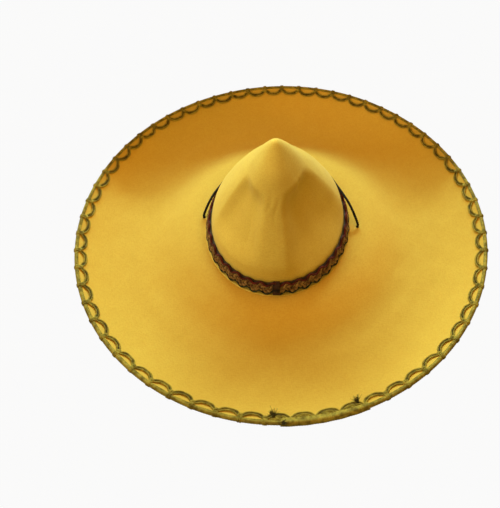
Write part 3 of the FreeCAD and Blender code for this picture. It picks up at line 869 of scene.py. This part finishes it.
def make_band_braid(angle, wave):
    """Three strands of three yarns each, interlaced between the edge cords."""
    for strand, look in enumerate((bronze_look, brown_look, bronze_look)):
        braid = Shape()
        turn = SCALLOPS * angle + TAU * strand / 3
        height = BAND_MIDDLE + 3.4 * np.sin(turn) + 1.8 * wave
        offset = 2.9 + 1.0 * np.sin(2 * turn) + band_lean(height)
        for yarn in (-1, 0, 1):
            path = wall_point(angle, height + yarn * 1.3, offset + 0.25 * (yarn == 0))
            braid.rope(path, YARN_R, 2, YARN_TURN, outward(angle), closed=True, sides=5, phase=yarn * 1.1)
        braid.make("hatband_braid_" + "abc"[strand], look, "hat", "bronze_gimp")


def make_band_wrap():
    """Thread wrapped over the join of the hatband, with two turns across it."""
    wrap = Shape()
    t = np.linspace(0, 1, 26)
    height = BAND_LOW - 0.3 + (BAND_HIGH - BAND_LOW + 0.6) * t
    for index in range(8):
        turn = BAND_JOIN + (index - 3.5) * 1.15 / HALF[1]
        over = 0.5 + 4.6 * smooth(t / 0.14) * smooth((1 - t) / 0.14)
        offset = over + rng.normal(0, 0.08) + band_lean(height)
        angle = turn + rng.normal(0, 0.25) / HALF[1] * np.sin(t * math.pi)
        wrap.tube(wall_point(angle, height, offset), 0.75, 7, np.cross(outward(angle), [0, 0, 1.0]))
    t = np.linspace(-1, 1, 22)
    angle = BAND_JOIN + 4.6 * t / HALF[1]
    for turn in range(2):
        height = BAND_MIDDLE + (turn - 0.5) * 1.6 + 0.5 * np.sin(3 * t)
        offset = 3.2 + 3.1 * np.cos(t * math.pi / 2) ** 0.6 + band_lean(height)
        wrap.tube(wall_point(angle, height, offset), 0.8, 7, np.tile([0, 0, 1.0], (22, 1)))
    wrap.make("hatband_join_wrap", wrap_look, "hat", "dark_gimp", ["hatband_join"])


def make_hatband():
    """Braid round the crown: backing, two edge cords, three strands and the wrapped join."""
    angle = full_turn(SCALLOPS * 24)
    wave = np.sin(SCALLOPS * angle)
    make_band_backing(angle, wave)
    make_band_edge("hatband_upper_edge", maroon_look, "maroon_gimp", BAND_HIGH - 2.0, "hatband_upper_cord")
    make_band_edge("hatband_lower_edge", green_look, "green_gimp", BAND_LOW + 2.2, "hatband_lower_cord")
    make_band_braid(angle, wave)
    make_band_wrap()


# ---------------- inside of the crown

def make_sweatband():
    """Ribbed tape turned over at its top, with its ends overlapping at the back."""
    low, high = sweat_low[2] - SEAT, sweat_high[2] - SEAT
    outer = CENTRE[0] - HALF[0] * crown_scale(low / PEAK) - sweat_low[0]
    columns = 720
    angle = full_turn(columns)
    lap = np.exp(-((np.degrees(angle) - 90) / 2.2) ** 2) * 0.5
    ribs = 0.10 * np.sin(angle * 180)
    loose = 0.175 * np.sin(5 * angle + 0.7)
    rows = []
    for height in np.linspace(low, high - 0.7, 14):
        free = loose * smooth((height - 12) / 14)
        rows.append(wall_point(angle, height, outer - 1.2 + free - ribs - lap))
    for offset, height in ((-1.0, high - 0.2), (-0.6, high), (-0.2, high - 0.2)):
        rows.append(wall_point(angle, height, outer + offset + loose))
    for height in np.linspace(high - 0.8, low, 14):
        free = loose * smooth((height - 12) / 14)
        rows.append(wall_point(angle, height, outer - 0.1 + free))
    band = Shape()
    band.grid(np.array(rows), True, True, around=np.arange(columns + 1.0) * 0.8)
    band.make("sweatband_tape", tape_look, "hat", "sweatband_cloth", ["sweatband"])


def make_stitches(name, node, count):
    """Running stitches: short lengths of twisted thread that dip at both ends."""
    low, high = box_mm(node)
    height = (low[2] + high[2]) / 2 - SEAT
    share = crown_scale(height / PEAK)
    offset = (high[0] - low[0]) / 2 - HALF[0] * share - 0.35
    stitches = Shape()
    for index in range(count):
        middle = TAU * index / count
        t = np.linspace(-1, 1, 9)
        angle = middle + 2.0 * t / np.hypot(HALF[0] * math.sin(middle), HALF[1] * math.cos(middle))
        path = wall_point(angle, height + 0.1 * t, offset + 0.12 * (1 - t * t))
        stitches.rope(path, 0.34, 2, 1.6, np.tile([0, 0, 1.0], (9, 1)), sides=5)
    stitches.make(name, thread_look, "hat", "yellow_thread", [node])


# ---------------- chin cord

def spline(points, step):
    """Points along a smooth curve through the given ones, evenly spaced."""
    points = np.asarray(points, float)
    padded = np.concatenate([[2 * points[0] - points[1]], points, [2 * points[-1] - points[-2]]])
    fine = []
    for a, b, c, d in zip(padded, padded[1:], padded[2:], padded[3:]):
        t = np.linspace(0, 1, 40, endpoint=False)[:, None]
        square = (2 * a - 5 * b + 4 * c - d) * t ** 2
        cube = (3 * b - 3 * c + d - a) * t ** 3
        fine.append(0.5 * (2 * b + (c - a) * t + square + cube))
    fine = np.concatenate(fine + [points[-1:]])
    length = np.concatenate([[0], np.cumsum(np.linalg.norm(np.diff(fine, axis=0), axis=1))])
    even = np.linspace(0, length[-1], int(length[-1] / step) + 1)
    return np.stack([np.interp(even, length, fine[:, k]) for k in range(3)], -1)


def carried(path):
    """Directions across a path, carried along it without twisting."""
    ahead = np.gradient(path, axis=0)
    ahead /= np.linalg.norm(ahead, axis=1, keepdims=True)
    out = [np.cross(ahead[0], [0.3, 1.0, 0.2])]
    for way in ahead[1:]:
        step = out[-1] - way * (out[-1] @ way)
        out.append(step / np.linalg.norm(step))
    return np.array(out)


LOOP_TILT = math.radians(5.0)
LOOK_R = 1.8                 # the cord's radius with its twisted plies
LOOK_TURN = 8.0
STRAND = 1.9                 # half the distance between the cord's two ends
CORD_LIES = 22.0             # height of the cord on the crown, just above the hatband
CORD_STANDS = 2.6            # its axis from the crown's wall


def loop_point(x, along):
    """Point in the plane in which the cord hangs below the holes."""
    return np.array([x, along * math.cos(LOOP_TILT), HINGE_Z - along * math.sin(LOOP_TILT)])


def crown_touch(degrees):
    """Point of the cord where it lies on the crown."""
    return wall_point(math.radians(degrees), CORD_LIES, CORD_STANDS)


# Right half of the hanging cord, from the slider up to the hole: sideways, and distance from the hinge.
HANGING = [(STRAND, 138), (STRAND, 126), (STRAND, 118), (3.2, 111), (14, 105), (40, 99), (69, 84), (91, 58),
           (101, 28), (102, 8), (102, 3.4)]


def make_chin_cord():
    """One twisted cord: knot, slider, under the brim, up through a hole, round the crown and back down."""
    reach = (knot_low[1] + knot_high[1]) / 2 / math.cos(LOOP_TILT)

    def under(side):
        return [loop_point(side * x, along) for x, along in [(STRAND, reach - 2)] + HANGING]

    def through(side):
        places = [(0.9, HINGE_Z + 0.9), (0.1, HINGE_Z + 2.6), (0, SEAT - 1.5), (0, SEAT + 1.5)]
        return [np.array([side * HOLE_X, y, z]) for y, z in places + [(1.0, SEAT + 4.5)]]

    def leave(side):
        """Straight run from the hole to where the cord touches the crown, over the hatband."""
        touch = crown_touch(90 - side * 58)
        hole = np.array([side * HOLE_X, 1.0, SEAT])
        return [(hole + (touch - hole) * share) * [1, 1, 0] + [0, 0, SEAT + height]
                for share, height in ((0.14, 11.5), (0.30, 17.0), (0.50, 20.8), (0.75, 22.0))]

    over = leave(1) + [crown_touch(degrees) for degrees in range(32, 150, 9)] + leave(-1)[::-1]
    points = under(1) + through(1) + over + through(-1)[::-1] + under(-1)[::-1]
    path = spline(points, 1.3)
    cord = Shape()
    cord.rope(path, LOOK_R, 3, LOOK_TURN, carried(path), sides=7)
    piece = cord.make("chin_cord", black_look, None, "black_cord",
                      ["chin_cord_over", "chin_cord_left", "chin_cord_right"])
    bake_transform(piece)


def make_end_knot():
    """Overhand knot in the two ends, with frayed tails."""
    middle = (knot_low + knot_high) / 2
    t = np.linspace(0, TAU, 120, endpoint=False)
    x = 3.1 * (np.sin(t) + 2 * np.sin(2 * t)) / 3
    y = 2.3 * (np.cos(t) - 2 * np.cos(2 * t)) / 3
    z = -1.5 * np.sin(3 * t)
    path = middle + np.stack([x, y, z], -1)
    knot = Shape()
    knot.rope(path, 1.35, 3, 6.0, np.tile([0.0, 0.0, 1.0], (120, 1)), closed=True)
    knot.make("chin_cord_knot", black_look, "chin_loop", "black_cord", ["cord_end_knot"])
    tails = Shape()
    for side in (-1, 1):
        root = middle + np.array([side * 1.3, 2.4, 0.0])
        tuft(tails, root, np.array([side * 0.25, 1.0, -0.15]), 26, 7.5, 0.16, 0.22)
    tails.make("chin_cord_tails", black_look, "chin_loop", "black_cord")


def make_slider():
    """Leather keeper rolled round both strands, with a lapped seam underneath."""
    middle = (slider_low + slider_high) / 2
    half_length = 4.4
    turn = full_turn(64)

    def ring(half_wide, half_high, along):
        power = 0.62
        x = half_wide * np.sign(np.cos(turn)) * np.abs(np.cos(turn)) ** power
        z = half_high * np.sign(np.sin(turn)) * np.abs(np.sin(turn)) ** power
        lap = 0.35 * np.exp(-((turn - 1.5 * math.pi - 0.35) / 0.3) ** 2)
        z = z - lap * (half_high > 2.2)
        y = np.full_like(x, along)
        c, s = math.cos(LOOP_TILT), math.sin(LOOP_TILT)
        return middle + np.stack([x, y * c + z * s, -y * s + z * c], -1)

    rows = []
    for along in np.linspace(-half_length, half_length, 12):
        swell = 0.12 * math.cos(along / half_length * 4.5)
        rows.append(ring(5.3 + swell, 2.75 + swell, along))
    rows.append(ring(5.0, 2.5, half_length + 0.3))
    rows.append(ring(4.4, 2.1, half_length + 0.3))
    for along in np.linspace(half_length, -half_length, 6):
        rows.append(ring(3.95, 1.66, along))
    rows.append(ring(4.4, 2.1, -half_length - 0.3))
    rows.append(ring(5.0, 2.5, -half_length - 0.3))
    keeper = Shape()
    keeper.grid(np.array(rows), True, True)
    keeper.make("slider_keeper", leather_look, "slider", "slider_leather", ["cord_slider"])


make_brim()
make_crown()
make_loops()
make_foot()
make_ties()
make_join()
make_doubled_loops()
make_frayed_ends()
make_wire()
make_hatband()
make_sweatband()
make_stitches("crown_seam_thread", "crown_seam_stitches", 64)
make_stitches("sweatband_thread", "sweatband_stitches", 63)
make_chin_cord()
make_end_knot()
make_slider()


# ---------------- floor, light and camera

FLOOR_Z = -0.0004            # just below the felt, so that the two faces don't coincide
FLOOR_GLOW = 0.95


def make_floor():
    """Floor that looks pale to the camera and gives little light back to the hat."""
    floor_mesh = bpy.data.meshes.new("floor")
    corners = [(x, y, FLOOR_Z) for x, y in ((-6.0, -6.0), (6.0, -6.0), (6.0, 6.0), (-6.0, 6.0))]
    floor_mesh.from_pydata(corners, [], [(0, 1, 2, 3)])
    floor = bpy.data.objects.new("floor", floor_mesh)
    bpy.context.scene.collection.objects.link(floor)
    pale = Finish("floor_look", roughness=0.9)
    pale.surface.inputs["Specular IOR Level"].default_value = 0.0
    pale.surface.inputs["Emission Color"].default_value = rgb(1.0, 1.0, 1.0)
    seen = pale.add("ShaderNodeLightPath").outputs["Is Camera Ray"]
    pale.colour(pale.blend(seen, (0.35, 0.35, 0.35), (0.02, 0.02, 0.02)))
    pale.links.new(pale.times(seen, FLOOR_GLOW), pale.surface.inputs["Emission Strength"])
    floor_mesh.materials.append(pale.material)
    floor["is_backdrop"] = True


WORLD_COLOUR = rgb(1.0, 0.74, 0.32)
WORLD_STRENGTH = 0.35
# Each lamp: direction it comes from and its height in degrees, size across and tall in metres, power in
# watts, colour, and the one piece that it lights, if not all.
LAMPS = [("key", 97.0, 31.0, 2.1, 0.3, 78.0, (0.38, 0.6, 0.6), None),
         ("left", 200.0, 22.0, 1.4, 0.8, 11.0, (0.63, 0.68, 0.6), None),
         ("top", 97.0, 80.0, 1.4, 1.4, 9.0, (1.0, 0.35, 0.04), None),
         ("peak", 150.0, 68.0, 0.6, 0.6, 19.0, (0.6, 0.75, 0.8), "crown_felt_body"),
         ("glow", 308.0, 9.0, 1.0, 0.3, 7.0, (1.0, 0.42, 0.04), "brim_felt_body")]
LAMP_DISTANCE = 2.0


def make_world():
    """Even, warm surroundings that look pale and neutral to the camera."""
    world = bpy.data.worlds.new("studio")
    world.use_nodes = True
    nodes, links = world.node_tree.nodes, world.node_tree.links
    nodes["Background"].inputs["Strength"].default_value = WORLD_STRENGTH
    nodes["Background"].inputs["Color"].default_value = WORLD_COLOUR
    seen = nodes.new("ShaderNodeBackground")
    seen.inputs["Color"].default_value = rgb(0.96, 0.96, 0.96)
    mixer = nodes.new("ShaderNodeMixShader")
    links.new(nodes.new("ShaderNodeLightPath").outputs["Is Camera Ray"], mixer.inputs[0])
    links.new(nodes["Background"].outputs[0], mixer.inputs[1])
    links.new(seen.outputs[0], mixer.inputs[2])
    links.new(mixer.outputs[0], nodes["World Output"].inputs["Surface"])
    bpy.context.scene.world = world


def make_lamps():
    """Soft lamps that light the hat but not the floor."""
    for name, azimuth, height, across, tall, power, colour, only in LAMPS:
        data = bpy.data.lights.new(name, "AREA")
        data.shape = "RECTANGLE"
        data.size = across
        data.size_y = tall
        data.energy = power
        data.color = colour
        turn, rise = math.radians(azimuth), math.radians(height)
        toward = Vector((math.cos(turn) * math.cos(rise), math.sin(turn) * math.cos(rise), math.sin(rise)))
        lamp = bpy.data.objects.new(name, data)
        lamp.location = toward * LAMP_DISTANCE
        lamp.rotation_euler = toward.to_track_quat("Z", "Y").to_euler()
        bpy.context.scene.collection.objects.link(lamp)
        lit = bpy.data.collections.new("lit_by_" + name)
        for piece in [bpy.data.objects[only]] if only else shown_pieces():
            lit.objects.link(piece)
        lamp.light_linking.receiver_collection = lit


# Curved card behind the hat, in metres.
FLAG_R = 0.287
FLAG_HEIGHT = 0.112
FLAG_MIDDLE = math.radians(95.0)
FLAG_HALF_TURN = math.radians(72.0)


def make_flag():
    """Card, unseen by the camera, that shades the back of the brim and is lower towards its ends."""
    columns, rows = 60, 4
    turn = np.linspace(-1, 1, columns)
    top = FLAG_HEIGHT * (0.3 + 0.7 * smooth((1 - np.abs(turn)) / 0.45))
    angle = FLAG_MIDDLE + FLAG_HALF_TURN * turn
    points = [(FLAG_R * math.cos(a), FLAG_R * math.sin(a), h * row / (rows - 1))
              for a, h in zip(angle, top) for row in range(rows)]
    faces = [(c * rows + r, (c + 1) * rows + r, (c + 1) * rows + r + 1, c * rows + r + 1)
             for c in range(columns - 1) for r in range(rows - 1)]
    mesh = bpy.data.meshes.new("light_flag")
    mesh.from_pydata(points, [], faces)
    mesh.materials.append(bpy.data.objects["floor"].data.materials[0])
    flag = bpy.data.objects.new("light_flag", mesh)
    bpy.context.scene.collection.objects.link(flag)
    flag.visible_camera = False
    flag.visible_diffuse = False
    flag.visible_glossy = False
    flag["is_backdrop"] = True


# Camera, in metres and radians, set from the centre of the rim.
CAMERA_DISTANCE = 0.7059
CAMERA_HEIGHT = math.radians(52.98)
CAMERA_AZIMUTH = math.radians(5.98)
CAMERA_TILT = math.radians(-3.84)
CAMERA_ROLL = math.radians(1.25)
LENS_MM = 37.84
SHIFT_X = -0.061
SHIFT_Y = 0.002
RIM_CENTRE = Vector((0.0, 0.0, 0.0287))


def make_camera():
    """Camera above the front of the hat, aimed a little below the rim's centre."""
    forward = Vector((0, math.cos(CAMERA_HEIGHT), -math.sin(CAMERA_HEIGHT)))
    up = Vector((0, math.sin(CAMERA_HEIGHT), math.cos(CAMERA_HEIGHT)))
    location = RIM_CENTRE - forward * CAMERA_DISTANCE
    aimed = (forward * math.cos(CAMERA_TILT) + up * math.sin(CAMERA_TILT)).normalized()
    right = aimed.cross(up).normalized()
    up = right.cross(aimed)
    rolled_right = right * math.cos(CAMERA_ROLL) - up * math.sin(CAMERA_ROLL)
    rolled_up = right * math.sin(CAMERA_ROLL) + up * math.cos(CAMERA_ROLL)
    turn = Matrix.Rotation(CAMERA_AZIMUTH, 4, "Z")
    axes = Matrix((rolled_right, rolled_up, -aimed)).transposed().to_4x4()
    data = bpy.data.cameras.new("camera")
    data.lens = LENS_MM
    data.shift_x = SHIFT_X
    data.shift_y = SHIFT_Y
    data.clip_start = 0.01
    camera = bpy.data.objects.new("camera", data)
    camera.matrix_world = turn @ Matrix.Translation(location) @ axes
    bpy.context.scene.collection.objects.link(camera)
    bpy.context.scene.camera = camera


make_floor()
make_world()
make_lamps()
make_flag()
make_camera()
bpy.context.scene.view_settings.view_transform = "Standard"
